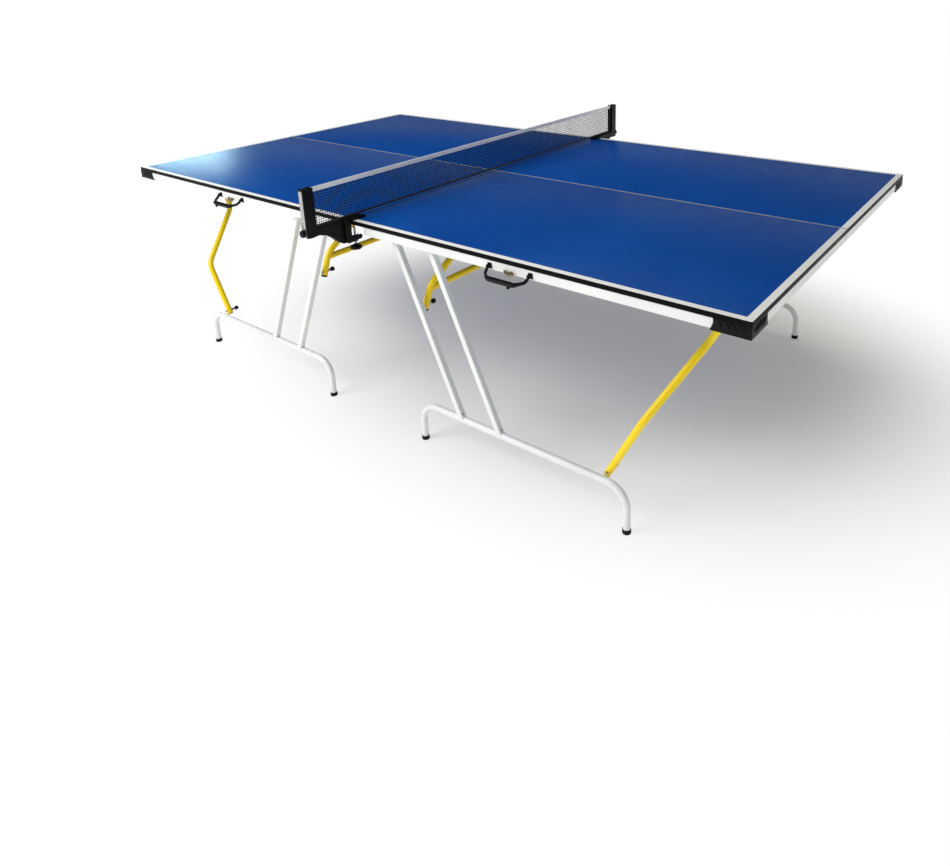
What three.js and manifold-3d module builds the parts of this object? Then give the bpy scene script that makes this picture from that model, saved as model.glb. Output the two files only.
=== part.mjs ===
// Folding table-tennis table. Millimetres, +Z up, +X along the table, origin on the floor at its centre.
// The table is two halves. Each half is two panels that fold together on a two-pin hinge at the centre
// line. Every panel carries its own folding leg, two folding braces and a carrying handle.
import * as THREE from "three";
import { mergeVertices } from "three/addons/utils/BufferGeometryUtils.js";
import Module from "manifold-3d";

const wasm = await Module();
wasm.setup();

// Driving dimensions.
const HALF_LENGTH = 1370;
const HALF_WIDTH = 762.5;
const HEIGHT = 760;
const BOARD_THICKNESS = 14;
const APRON_DEPTH = 29;
const APRON_INSET = 3;
const SHEET = 2;
const GAP = 0.3;
const TUBE_RADIUS = 11;
const SQUARE_TUBE = 20;

// The white leg: a turning bar, two slanted square tubes and a round foot tube.
const LEG_PIVOT = { y: -715, z: 712 };
const LEG_SPLAY = 1;
const BAR_ENDS = [158, 412];
const LEG_TUBE_TOPS = [172, 330];
const LEG_LEAN = 254;
const FOOT_TUBE_Z = 142;
const FOOT_X = [245, 1035];
const FOOT_BEND = 90;

// The yellow braces: each is a bent tube frame that turns on a tube running across the panel.
const BRACE_PIVOT_Z = 734.5;
const BRACE_PIVOT_END_Y = -71;
const BRACE_INNER_Y = -200;
const NET_BRACE = { x: 270, lean: 2.64, crossbar: 192, length: 262 };
const END_BRACE = { x: 1263, lean: 27.6, crossbar: 156, length: 668 };

// The two-pin hinge at the centre line.
const HINGE_Y = 20;
const HINGE_Z = 714;
const HINGE_X = [290, 990];

const UNDERSIDE = HEIGHT - BOARD_THICKNESS;
const APRON_TOP = UNDERSIDE - GAP;
const APRON_BOTTOM = UNDERSIDE - APRON_DEPTH;

const COLOURS = {
  blue: [0x0d4c9c, 0.35, 0],
  white: [0xf0f2ee, 0.35, 0.1],
  yellow: [0xffd400, 0.35, 0.1],
  black: [0x141416, 0.5, 0],
  rubber: [0x101011, 0.85, 0],
  steel: [0x9a9da0, 0.35, 0.9],
  net: [0x14161a, 0.9, 0],
};

function material(name) {
  const [color, roughness, metalness] = COLOURS[name];
  return new THREE.MeshStandardMaterial({ color, roughness, metalness });
}

// --- plain shapes ---------------------------------------------------------------------------------

function box([x0, x1], [y0, y1], [z0, z1]) {
  return new THREE.BoxGeometry(x1 - x0, y1 - y0, z1 - z0)
    .translate((x0 + x1) / 2, (y0 + y1) / 2, (z0 + z1) / 2);
}

function outline(points) {
  return new THREE.Shape(points.map(([a, b]) => new THREE.Vector2(a, b)));
}

// A flat outline pushed along one axis: "x" takes (y, z) points, "y" takes (x, z), "z" takes (x, y).
function prism(points, axis, from, to) {
  const solid = new THREE.ExtrudeGeometry(outline(points), { depth: to - from, bevelEnabled: false });
  if (axis === "x") solid.applyMatrix4(new THREE.Matrix4().set(0, 0, 1, 0, 1, 0, 0, 0, 0, 1, 0, 0, 0, 0, 0, 1));
  if (axis === "y") solid.applyMatrix4(new THREE.Matrix4().set(1, 0, 0, 0, 0, 0, -1, 0, 0, 1, 0, 0, 0, 0, 0, 1));
  const shift = { x: [from, 0, 0], y: [0, to, 0], z: [0, 0, from] }[axis];
  return solid.translate(...shift);
}

function upright(radius, [z0, z1], x, y, sides = 16) {
  return new THREE.CylinderGeometry(radius, radius, z1 - z0, sides)
    .rotateX(Math.PI / 2)
    .translate(x, y, (z0 + z1) / 2);
}

// A line of straight stretches whose corners are rounded, with one ring of the tube at each of its points.
class BentLine extends THREE.Curve {
  constructor(corners, bend) {
    super();
    const all = corners.map((c) => new THREE.Vector3(...c));
    this.points = [all[0]];
    for (let i = 1; i < all.length - 1; i++) this.round(all[i - 1], all[i], all[i + 1], bend);
    this.points.push(all[all.length - 1]);
  }

  round(before, corner, after, bend) {
    const into = corner.clone().sub(before).normalize();
    const out = after.clone().sub(corner).normalize();
    const turn = into.angleTo(out);
    const cut = bend * Math.tan(turn / 2);
    const start = corner.clone().addScaledVector(into, -cut);
    const side = out.clone().addScaledVector(into, -out.dot(into)).normalize();
    const steps = Math.max(2, Math.ceil(turn / (Math.PI / 12)));
    for (let i = 0; i <= steps; i++) {
      const a = (turn * i) / steps;
      this.points.push(start.clone()
        .addScaledVector(into, bend * Math.sin(a))
        .addScaledVector(side, bend * (1 - Math.cos(a))));
    }
  }

  getPoint(t, target = new THREE.Vector3()) {
    const place = t * (this.points.length - 1);
    const i = Math.min(Math.floor(place), this.points.length - 2);
    return target.lerpVectors(this.points[i], this.points[i + 1], place - i);
  }

  getPointAt(u, target) {
    return this.getPoint(u, target);
  }

  getSpacedPoints() {
    return this.points.map((p) => p.clone());
  }

  getTangentAt(u, target = new THREE.Vector3()) {
    const i = Math.round(u * (this.points.length - 1));
    const last = this.points.length - 1;
    const stretch = (j) => this.points[j + 1].clone().sub(this.points[j]).normalize();
    return target.copy(stretch(Math.max(i - 1, 0))).add(stretch(Math.min(i, last - 1))).normalize();
  }
}

function tube(corners, radius, bend = 0, sides = 12) {
  const section = new THREE.Shape();
  section.absarc(0, 0, radius, 0, 2 * Math.PI, false);
  const path = new BentLine(corners, bend);
  return new THREE.ExtrudeGeometry(section, {
    steps: path.points.length - 1,
    curveSegments: sides / 2,
    extrudePath: path,
    bevelEnabled: false,
  });
}

// --- joining and cutting --------------------------------------------------------------------------

function toManifold(geometry) {
  const bare = geometry.clone();
  bare.deleteAttribute("normal");
  bare.deleteAttribute("uv");
  const merged = mergeVertices(bare, 1e-4);
  return new wasm.Manifold(new wasm.Mesh({
    numProp: 3,
    vertProperties: new Float32Array(merged.attributes.position.array),
    triVerts: new Uint32Array(merged.index.array),
  }));
}

function toGeometry(solid) {
  const mesh = solid.getMesh();
  const geometry = new THREE.BufferGeometry();
  geometry.setAttribute("position", new THREE.BufferAttribute(new Float32Array(mesh.vertProperties), 3));
  geometry.setIndex(new THREE.BufferAttribute(new Uint32Array(mesh.triVerts), 1));
  return geometry;
}

function joined(...geometries) {
  return toGeometry(geometries.map(toManifold).reduce((sum, one) => sum.add(one)));
}

function cut(geometry, ...tools) {
  return toGeometry(tools.map(toManifold).reduce((rest, one) => rest.subtract(one), toManifold(geometry)));
}

// --- one panel, drawn as the near right one --------------------------------------------------------

function board() {
  return box([1.5, HALF_LENGTH], [-HALF_WIDTH, -1], [UNDERSIDE, HEIGHT]);
}

// A folded channel: web on the outside, flanges turned inward. Points are (outward, z).
function channel(face) {
  const web = face - SHEET;
  return [
    [face, APRON_BOTTOM], [face, APRON_TOP], [face - 22, APRON_TOP], [face - 22, APRON_TOP - SHEET],
    [web, APRON_TOP - SHEET], [web, APRON_BOTTOM + SHEET], [face - 13, APRON_BOTTOM + SHEET],
    [face - 13, APRON_BOTTOM],
  ];
}

function sideApron() {
  const profile = channel(HALF_WIDTH - APRON_INSET).map(([y, z]) => [-y, z]).reverse();
  return prism(profile, "x", 80, HALF_LENGTH - APRON_INSET - SHEET - GAP);
}

function endApron() {
  return prism(channel(HALF_LENGTH - APRON_INSET), "y", -735, -3);
}

// The outer corner is wrapped by a black cap: two thin walls with hollowed ends, and a plate below.
function cornerCap() {
  const bottom = APRON_BOTTOM - 2.5;
  const face = APRON_INSET - GAP;
  const wall = (outer, length) => {
    const points = [[outer, bottom], [outer, APRON_TOP], [outer - length + 6, APRON_TOP]];
    for (let t = 1 / 6; t < 0.99; t += 1 / 6) {
      const hollow = 5 * Math.sin(t * Math.PI) * (1 - 0.75 * t);
      points.push([outer - length + 6 * (1 - t) + hollow, APRON_TOP + (bottom - APRON_TOP) * t]);
    }
    points.push([outer - length, bottom]);
    return points;
  };
  const side = prism(wall(HALF_LENGTH, 100), "y", -HALF_WIDTH, -HALF_WIDTH + face);
  const endProfile = wall(HALF_WIDTH, 105).map(([y, z]) => [-y, z]).reverse();
  const end = prism(endProfile, "x", HALF_LENGTH - face, HALF_LENGTH);
  const plate = prism([
    [HALF_LENGTH, -HALF_WIDTH], [HALF_LENGTH, -HALF_WIDTH + 105], [HALF_LENGTH - 16, -HALF_WIDTH + 105],
    [HALF_LENGTH - 30, -HALF_WIDTH + 45], [HALF_LENGTH - 45, -HALF_WIDTH + 30],
    [HALF_LENGTH - 100, -HALF_WIDTH + 16], [HALF_LENGTH - 100, -HALF_WIDTH],
  ], "z", bottom, bottom + 2.2);
  return joined(side, end, plate);
}

function legHanger() {
  const y = [LEG_PIVOT.y - 14, LEG_PIVOT.y + 14];
  const strip = box([BAR_ENDS[0] - 12, BAR_ENDS[1] + 12], y, [APRON_TOP - 2.5, APRON_TOP]);
  const ear = (x) => box([x, x + 5], y, [LEG_PIVOT.z - 14, APRON_TOP - 2]);
  return joined(strip, ear(BAR_ENDS[0] - 7.5), ear(BAR_ENDS[1] + 2.5));
}

// Moves each point outward in proportion to its depth below the leg's pivot, which splays the leg.
function splayed(geometry) {
  const slope = LEG_SPLAY / LEG_PIVOT.z;
  const shear = new THREE.Matrix4().set(1, 0, 0, 0, 0, 1, slope, -slope * LEG_PIVOT.z, 0, 0, 1, 0, 0, 0, 0, 1);
  return geometry.applyMatrix4(shear);
}

function legFrame() {
  const { y, z } = LEG_PIVOT;
  const half = SQUARE_TUBE / 2;
  const bar = box(BAR_ENDS, [y - half, y + half], [z - half, z + half]);
  const foot = FOOT_TUBE_Z + TUBE_RADIUS + GAP;
  const lean = LEG_LEAN / (z - FOOT_TUBE_Z);
  const width = half * Math.hypot(1, lean);
  const slanted = (x) => {
    const low = x + lean * (z - foot);
    return prism([[x - width, z], [low - width, foot], [low + width, foot], [x + width, z]], "y", y - half, y + half);
  };
  return splayed(joined(bar, ...LEG_TUBE_TOPS.map(slanted)));
}

const CAP = { radius: 13, height: 15, floor: 6 };

function footTube() {
  const y = LEG_PIVOT.y;
  const end = CAP.floor + GAP;
  const corners = [
    [FOOT_X[0], y, end], [FOOT_X[0], y, FOOT_TUBE_Z], [FOOT_X[1], y, FOOT_TUBE_Z], [FOOT_X[1], y, end],
  ];
  return splayed(tube(corners, TUBE_RADIUS, FOOT_BEND, 16));
}

function footCap(x) {
  const inner = TUBE_RADIUS + GAP + 0.1;
  const profile = [
    [0, 0], [CAP.radius - 1.5, 0], [CAP.radius, 1.5], [CAP.radius, CAP.height],
    [inner, CAP.height], [inner, CAP.floor], [0, CAP.floor],
  ].map(([r, z]) => new THREE.Vector2(r, z));
  const cup = new THREE.LatheGeometry(profile, 20).rotateX(Math.PI / 2);
  return cup.translate(x, LEG_PIVOT.y - LEG_SPLAY, 0);
}

// The y of a leg, given as (y, distance below the pivot) points, at one depth.
function legY(legs, depth) {
  const i = legs.findIndex(([, down]) => down >= depth);
  const [[y0, down0], [y1, down1]] = [legs[i - 1], legs[i]];
  return y0 + ((y1 - y0) * (depth - down0)) / (down1 - down0);
}

// A brace frame is drawn hanging straight down from its pivot tube, then leaned about that tube.
// Legs are lists of (y, distance below the pivot).
function braceFrame({ x, lean, crossbar }, legs, pivotFrom, outerBend) {
  const place = ([y, down]) => [0, y, -down];
  const pivot = tube([[0, pivotFrom, 0], [0, BRACE_PIVOT_END_Y, 0]], TUBE_RADIUS);
  const outer = tube(legs.map(place), TUBE_RADIUS, outerBend);
  const inner = tube([
    [0, legY(legs, crossbar), -crossbar], [0, BRACE_INNER_Y, -crossbar], [0, BRACE_INNER_Y, 0],
    [0, pivotFrom + 40, 0],
  ], TUBE_RADIUS, 30);
  return joined(pivot, outer, inner)
    .rotateY(THREE.MathUtils.degToRad(lean))
    .translate(x, 0, BRACE_PIVOT_Z);
}

function netBrace() {
  const legs = [[-369, 0], [-657, 178], [-690, NET_BRACE.length]];
  return braceFrame(NET_BRACE, legs, -372, 45);
}

function endBrace() {
  const legs = [[-495, 0], [-495, 215], [-688, 432], [-688, END_BRACE.length]];
  return braceFrame(END_BRACE, legs, -637, 70);
}

// The handle hangs from two points on the side apron and bows outward, so that a hand fits behind it.
function handle() {
  const y = -HALF_WIDTH + APRON_INSET - 8.5;
  const corners = [[608, 0, 729], [612, -16, 717], [632, -36, 711]];
  const mirrored = corners.map(([x, out, z]) => [2 * 680 - x, out, z]).reverse();
  return tube([...corners, ...mirrored].map(([x, out, z]) => [x, y + out, z]), 6, 12, 10);
}

function hingeRail() {
  const flange = box(HINGE_X, [-46, -8], [APRON_TOP - 2.3, APRON_TOP]);
  const web = box(HINGE_X, [-28, -26], [HINGE_Z - 2, APRON_TOP - 2]);
  return joined(flange, web);
}

// A part drawn as the near right one is mirrored into its own quarter, keeping its faces outward.
function mirrored(geometry, sideX, sideY) {
  const flat = geometry.index ? geometry.toNonIndexed() : geometry.clone();
  flat.applyMatrix4(new THREE.Matrix4().makeScale(sideX, sideY, 1));
  if (sideX * sideY > 0) return flat;
  const p = flat.attributes.position;
  for (let i = 0; i < p.count; i += 3) {
    const a = [p.getX(i), p.getY(i), p.getZ(i)];
    p.setXYZ(i, p.getX(i + 1), p.getY(i + 1), p.getZ(i + 1));
    p.setXYZ(i + 1, ...a);
  }
  return flat;
}

function piece(name, geometry, colour) {
  geometry.computeVertexNormals();
  const mesh = new THREE.Mesh(geometry, material(colour));
  mesh.name = name;
  return mesh;
}

const PANEL_PARTS = {
  board: [board, "blue"],
  side_apron: [sideApron, "white"],
  end_apron: [endApron, "white"],
  corner_cap: [cornerCap, "black"],
  leg_hanger: [legHanger, "white"],
  leg_frame: [legFrame, "white"],
  foot_tube: [footTube, "white"],
  inner_foot_cap: [() => footCap(FOOT_X[0]), "rubber"],
  outer_foot_cap: [() => footCap(FOOT_X[1]), "rubber"],
  net_side_brace: [netBrace, "yellow"],
  end_side_brace: [endBrace, "yellow"],
  handle: [handle, "black"],
  hinge_rail: [hingeRail, "steel"],
};

function panel(name, sideX, sideY) {
  const group = new THREE.Group();
  for (const [part, [make, colour]] of Object.entries(PANEL_PARTS)) {
    group.add(piece(`${name}_${part}`, mirrored(make(), sideX, sideY), colour));
  }
  return group;
}

// --- the hinge leaf between two panels, and the net -------------------------------------------------

function hingeLeaf(sideX) {
  const leaf = box(HINGE_X, [-HINGE_Y, HINGE_Y], [HINGE_Z - 1.5, HINGE_Z + 1.5]);
  const pin = (y) => tube([[HINGE_X[0], y, HINGE_Z], [HINGE_X[1], y, HINGE_Z]], 4, 0, 10);
  return mirrored(joined(leaf, pin(-HINGE_Y), pin(HINGE_Y)), sideX, 1);
}

const POST = { outer: 925, inner: 887, top: 900 };
const JAW = { reach: 708, top: 768, arm: [686, 699], armReach: 722, width: [-1.2, 22] };
const SCREW = { x: 10, y: -743 };

// The bracket straddles the net line outside the table; its jaw and lower arm grip the right half only.
function netClamp() {
  const edge = -HALF_WIDTH - 0.7;
  const bracket = prism([
    [-POST.outer, 741], [-907, 739], [-882, 741], [-852, 732], [-826, 714], [-808, 696], [-794, 687],
    [-778, 684], [edge - 2, 684], [edge - 2, JAW.top - 2], [-POST.inner, JAW.top - 2],
    [-POST.inner, POST.top], [-POST.outer, POST.top],
  ], "x", -12, 12);
  const grip = prism([
    [-778, 684], [-JAW.armReach, JAW.arm[0] + 3], [-JAW.armReach, JAW.arm[1]], [edge, JAW.arm[1] + 1],
    [edge, HEIGHT + 0.4], [-JAW.reach, HEIGHT + 0.4], [-JAW.reach, JAW.top], [-785, JAW.top], [-785, 690],
  ], "x", ...JAW.width);
  return cut(joined(bracket, grip), upright(4.2, [670, 720], SCREW.x, SCREW.y));
}

function clampScrew() {
  const profile = [
    [0, 654], [18, 654], [22, 657], [22, 664], [18, 668], [3.6, 668], [3.6, 741.5], [9, 742.5],
    [9, 745.5], [0, 745.5],
  ].map(([r, z]) => new THREE.Vector2(r, z));
  return new THREE.LatheGeometry(profile, 16).rotateX(Math.PI / 2).translate(SCREW.x, SCREW.y, 0);
}

const NET = { end: POST.inner - 0.7, z: [JAW.top + 0.7, 897] };

function netPanel() {
  return box([-1.5, 1.5], [-NET.end, NET.end], NET.z);
}

const table = new THREE.Group();
for (const [half, sideX] of [["right", 1], ["left", -1]]) {
  for (const [row, sideY] of [["near", -1], ["far", 1]]) {
    table.add(panel(`${half}_${row}`, sideX, -sideY));
  }
  table.add(piece(`${half}_hinge_leaf`, hingeLeaf(sideX), "steel"));
}
for (const [end, sideY] of [["near", 1], ["far", -1]]) {
  table.add(piece(`${end}_net_clamp`, mirrored(netClamp(), 1, sideY), "black"));
  table.add(piece(`${end}_clamp_screw`, mirrored(clampScrew(), 1, sideY), "steel"));
}
table.add(piece("net", netPanel(), "net"));

export default table;
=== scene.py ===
"""Looks of a folding table-tennis table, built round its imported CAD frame.

Shapes are drawn in millimetres as the near right quarter of the table and mirrored into the other
quarters. The frame has +X along the table, -Y to the near side and +Z up.
"""
import math

import bmesh
import bpy
from mathutils import Matrix, Vector


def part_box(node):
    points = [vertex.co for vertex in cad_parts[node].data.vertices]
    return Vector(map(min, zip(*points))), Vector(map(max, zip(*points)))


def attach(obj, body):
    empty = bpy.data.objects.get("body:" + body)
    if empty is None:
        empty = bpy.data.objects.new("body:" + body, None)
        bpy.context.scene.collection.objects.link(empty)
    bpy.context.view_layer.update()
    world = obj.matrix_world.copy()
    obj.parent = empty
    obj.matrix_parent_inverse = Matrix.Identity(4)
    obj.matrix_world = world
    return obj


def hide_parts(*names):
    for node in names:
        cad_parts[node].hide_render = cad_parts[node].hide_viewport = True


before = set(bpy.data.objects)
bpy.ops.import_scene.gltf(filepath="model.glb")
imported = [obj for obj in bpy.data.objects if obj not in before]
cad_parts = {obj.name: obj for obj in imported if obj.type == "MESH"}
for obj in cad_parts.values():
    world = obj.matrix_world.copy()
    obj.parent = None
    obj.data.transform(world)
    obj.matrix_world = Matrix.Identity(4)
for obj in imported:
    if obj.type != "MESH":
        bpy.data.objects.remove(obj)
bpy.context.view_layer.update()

MM = 0.001


def span(node):
    """Lowest and highest corner of a CAD node, in millimetres."""
    low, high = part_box(node)
    return low / MM, high / MM


BOARD_LOW, BOARD_HIGH = span("right_near_board")
APRON_LOW, APRON_HIGH = span("right_near_side_apron")
CAP_LOW, CAP_HIGH = span("right_near_corner_cap")
NET_LOW, NET_HIGH = span("net")
LEAF_LOW, LEAF_HIGH = span("right_hinge_leaf")
RAIL_LOW, RAIL_HIGH = span("right_near_hinge_rail")
SCREW_LOW, SCREW_HIGH = span("near_clamp_screw")

SIDE_Y, END_X = BOARD_LOW.y, BOARD_HIGH.x
TOP, UNDERSIDE = BOARD_HIGH.z, BOARD_LOW.z
APRON_FACE = -APRON_LOW.y
END_APRON_FACE = span("right_near_end_apron")[1].x
BAND = 0.9
TUBE = 11
LEG_PIVOT = Vector((285, -715, 712))
LEG_LEAN = 254 / 570
FOOT_TUBE_Z = 142
FEET_X = (245, 1035)
FOOT_Y = -716
BRACE_Z = 734.5
NET_BRACE = {"x": 270, "lean": 2.64, "crossbar": 192}
END_BRACE = {"x": 1263, "lean": 27.6, "crossbar": 156}
BRACE_INNER_Y = -200
BRACE_END_Y = -71
HANDLE_X = (608, 752)
HANDLE_PIVOT = Vector((680, -768, 729))
POST_Y = (-925, -887)
SCREW_X, SCREW_Y = 10, -743


# --- camera ---------------------------------------------------------------------------------------

def add_camera():
    """The camera stands off the near right corner and looks down at the table."""
    azimuth, elevation, roll = (math.radians(a) for a in (36.926, 17.205, -1.356))
    back = Vector((math.sin(azimuth) * math.cos(elevation),
                   -math.cos(azimuth) * math.cos(elevation), math.sin(elevation)))
    right = Vector((0, 0, 1)).cross(back).normalized()
    up = back.cross(right)
    cos, sin = math.cos(roll), math.sin(roll)
    axes = (cos * right + sin * up, cos * up - sin * right, back)
    camera = bpy.data.objects.new("camera", bpy.data.cameras.new("camera"))
    place = Matrix.Translation((1.8839, -2.2201, 1.4882))
    camera.matrix_world = place @ Matrix(axes).transposed().to_4x4()
    camera.data.lens = 27.911
    camera.data.sensor_width = 36
    camera.data.shift_x = -0.0675
    camera.data.shift_y = -0.235
    camera.data.clip_end = 200
    bpy.context.scene.collection.objects.link(camera)
    bpy.context.scene.camera = camera


add_camera()


# --- drawing shapes -------------------------------------------------------------------------------

class Shape:
    """The points and faces of one piece, in millimetres."""

    def __init__(self):
        self.points, self.faces = [], []

    def add(self, points, faces):
        base = len(self.points)
        self.points += [Vector(p) for p in points]
        self.faces += [[base + i for i in face] for face in faces]
        return self


def rounded(corners, bend, step=7.5):
    """A line of straight stretches whose corners are arcs of radius bend."""
    corners = [Vector(c) for c in corners]
    path = [corners[0]]
    for before, corner, after in zip(corners, corners[1:], corners[2:]):
        into, out = (corner - before).normalized(), (after - corner).normalized()
        turn = into.angle(out)
        cut = min(bend * math.tan(turn / 2), 0.49 * (corner - before).length, 0.49 * (after - corner).length)
        radius = cut / math.tan(turn / 2)
        side = (out - into * out.dot(into)).normalized()
        start = corner - into * cut
        count = max(2, math.ceil(math.degrees(turn) / step))
        for i in range(count + 1):
            angle = turn * i / count
            path.append(start + into * radius * math.sin(angle) + side * radius * (1 - math.cos(angle)))
    path.append(corners[-1])
    return path


def softened(outline, steps=3):
    """A closed flat outline with rounded corners. Points are (a, b, radius)."""
    result = []
    count = len(outline)
    for i, (a, b, radius) in enumerate(outline):
        here = Vector((a, b))
        before = Vector(outline[i - 1][:2]) - here
        after = Vector(outline[(i + 1) % count][:2]) - here
        turn = math.pi - before.angle(after)
        if radius <= 0 or turn < 0.02:
            result.append((a, b))
            continue
        cut = min(radius * math.tan(turn / 2), 0.48 * before.length, 0.48 * after.length)
        start, end = here + before.normalized() * cut, here + after.normalized() * cut
        for k in range(steps + 1):
            t = k / steps
            point = start * (1 - t) ** 2 + here * (2 * t * (1 - t)) + end * t ** 2
            result.append((point.x, point.y))
    return result


def circle(radius, sides=24):
    return [(radius * math.cos(2 * math.pi * i / sides), radius * math.sin(2 * math.pi * i / sides))
            for i in range(sides)]


def rectangle(a, b, radius=0, steps=3):
    """A closed flat outline between the limits a one way and b the other, with rounded corners."""
    corners = ((a[0], b[0]), (a[1], b[0]), (a[1], b[1]), (a[0], b[1]))
    return softened([(*corner, radius) for corner in corners], steps)


def skin(shape, rings, closed=False):
    """Joins rings of equal length with faces, and caps both ends unless the rings close on themselves."""
    count = len(rings[0])
    faces = []
    for i in range(len(rings) if closed else len(rings) - 1):
        a, b = i * count, (i + 1) % len(rings) * count
        for k in range(count):
            n = (k + 1) % count
            faces.append((a + k, a + n, b + n, b + k))
    if not closed:
        faces.append(tuple(range(count))[::-1])
        faces.append(tuple(range((len(rings) - 1) * count, len(rings) * count)))
    return shape.add([p for ring in rings for p in ring], faces)


def sweep(shape, path, section, up=None, soft=0.0, scale=None):
    """A solid of this section along a path. soft rounds off its two ends, scale changes it along the way."""
    path = [Vector(p) for p in path]
    last = len(path) - 1
    if soft:
        first, final = (path[1] - path[0]).normalized(), (path[last] - path[last - 1]).normalized()
        path = [path[0], path[0] + first * soft, *path[1:last], path[last] - final * soft, path[last]]
        last += 2
    reach = max(math.hypot(*p) for p in section)
    normal = Vector(up) if up else None
    rings = []
    for i, point in enumerate(path):
        along = (path[min(i + 1, last)] - path[max(i - 1, 0)]).normalized()
        if normal is None:
            normal = along.orthogonal()
        normal = (normal - along * normal.dot(along)).normalized()
        side = along.cross(normal)
        size = scale[i] if scale else 1
        if soft and i in (0, last):
            size = 1 - soft / reach
        rings.append([point + (side * a + normal * b) * size for a, b in section])
    return skin(shape, rings)


def tube(shape, corners, radius=TUBE, bend=0.0, soft=1.2, sides=28):
    path = rounded(corners, bend) if bend else corners
    return sweep(shape, path, circle(radius, sides), soft=soft)


def hoop(shape, points, section, sizes=None):
    """A solid of this section along a closed loop of points. sizes scales it point by point."""
    points = [Vector(p) for p in points]
    centre = sum(points, Vector()) / len(points)
    rings = []
    for i, point in enumerate(points):
        along = (points[(i + 1) % len(points)] - points[i - 1]).normalized()
        out = point - centre
        out = (out - along * out.dot(along)).normalized()
        side = along.cross(out)
        size = sizes[i] if sizes else 1
        rings.append([point + (out * a + side * b) * size for a, b in section])
    return skin(shape, rings, closed=True)


def bead(shape, points, radius=1.7):
    """A weld bead: a rippled ring along a closed loop of points."""
    sizes = [radius * (1 + 0.14 * math.sin(2.4 * i)) for i, _ in enumerate(points)]
    return hoop(shape, points, circle(1, 7), sizes)


def tee_bead(shape, centre, main, branch):
    """The weld where one round tube meets another at a right angle: a saddle with its two dips filled."""
    main, branch = Vector(main).normalized(), Vector(branch).normalized()
    cross = main.cross(branch)
    reach = TUBE - 0.9
    path = []
    for i in range(36):
        angle = 2 * math.pi * i / 36
        height = reach * max(abs(math.sin(angle)) * 0.35, abs(math.cos(angle)))
        level = Vector(centre) + branch * height
        path.append(level + (main * math.cos(angle) + cross * math.sin(angle)) * reach)
    return bead(shape, path, 1.2)


def resampled(path, step):
    """The same line with points about a step apart."""
    result = [path[0]]
    for a, b in zip(path, path[1:]):
        count = max(1, round((b - a).length / step))
        result += [a.lerp(b, i / count) for i in range(1, count + 1)]
    return result


def lathe(shape, profile, at, axis=(0, 0, 1), sides=24, lobes=0, depth=0.0):
    """A turned solid from (radius, height) points that start and end on the axis. lobes wave its rim."""
    turn = Vector((0, 0, 1)).rotation_difference(Vector(axis).normalized()).to_matrix()
    at = Vector(at)
    rings = []
    for radius, height in profile[1:-1]:
        ring = []
        for i in range(sides):
            angle = 2 * math.pi * i / sides
            r = radius * (1 + depth * math.cos(lobes * angle))
            ring.append(at + turn @ Vector((r * math.cos(angle), r * math.sin(angle), height)))
        rings.append(ring)
    base = len(rings) * sides
    points = [p for ring in rings for p in ring]
    points += [at + turn @ Vector((0, 0, profile[0][1])), at + turn @ Vector((0, 0, profile[-1][1]))]
    faces = []
    for i in range(len(rings) - 1):
        for k in range(sides):
            n = (k + 1) % sides
            faces.append((i * sides + k, i * sides + n, (i + 1) * sides + n, (i + 1) * sides + k))
    for k in range(sides):
        n = (k + 1) % sides
        faces.append((base, n, k))
        faces.append((base + 1, base - sides + k, base - sides + n))
    return shape.add(points, faces)


def screw_head(shape, at, axis, r):
    """A domed screw head of radius r with a socket, standing on a surface."""
    profile = [(0, -0.5), (r, -0.5), (r, 0.15 * r), (0.86 * r, 0.42 * r), (0.6 * r, 0.56 * r),
               (0.42 * r, 0.58 * r), (0.38 * r, 0.3 * r), (0, 0.3 * r)]
    return lathe(shape, profile, at, axis, sides=16)


PLACES = {"x": lambda a, b, h: (h, a, b), "y": lambda a, b, h: (a, h, b), "z": lambda a, b, h: (a, b, h)}


def prism(shape, outline, axis, low, high, bevel=0.5, segments=2):
    """A flat outline pushed along an axis, its edges rounded. "x" takes (y, z), "y" (x, z), "z" (x, y)."""
    place = PLACES[axis]
    bm = bmesh.new()
    bottom = [bm.verts.new(place(p[0], p[1], low)) for p in outline]
    top = [bm.verts.new(place(p[0], p[1], high)) for p in outline]
    bm.faces.new(bottom)
    bm.faces.new(top[::-1])
    for i, _ in enumerate(outline):
        bm.faces.new((bottom[i - 1], bottom[i], top[i], top[i - 1]))
    bmesh.ops.recalc_face_normals(bm, faces=bm.faces)
    if bevel:
        sharp = [e for e in bm.edges if e.calc_face_angle(0) > math.radians(32)]
        bmesh.ops.bevel(bm, geom=sharp, offset=bevel, segments=segments, profile=0.6, affect="EDGES")
    bm.verts.index_update()
    shape.add([v.co.copy() for v in bm.verts], [[v.index for v in f.verts] for f in bm.faces])
    bm.free()
    return shape


def block(shape, x, y, z, bevel=0.6):
    return prism(shape, rectangle(x, y), "z", z[0], z[1], bevel)


# --- procedural materials -------------------------------------------------------------------------

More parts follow.
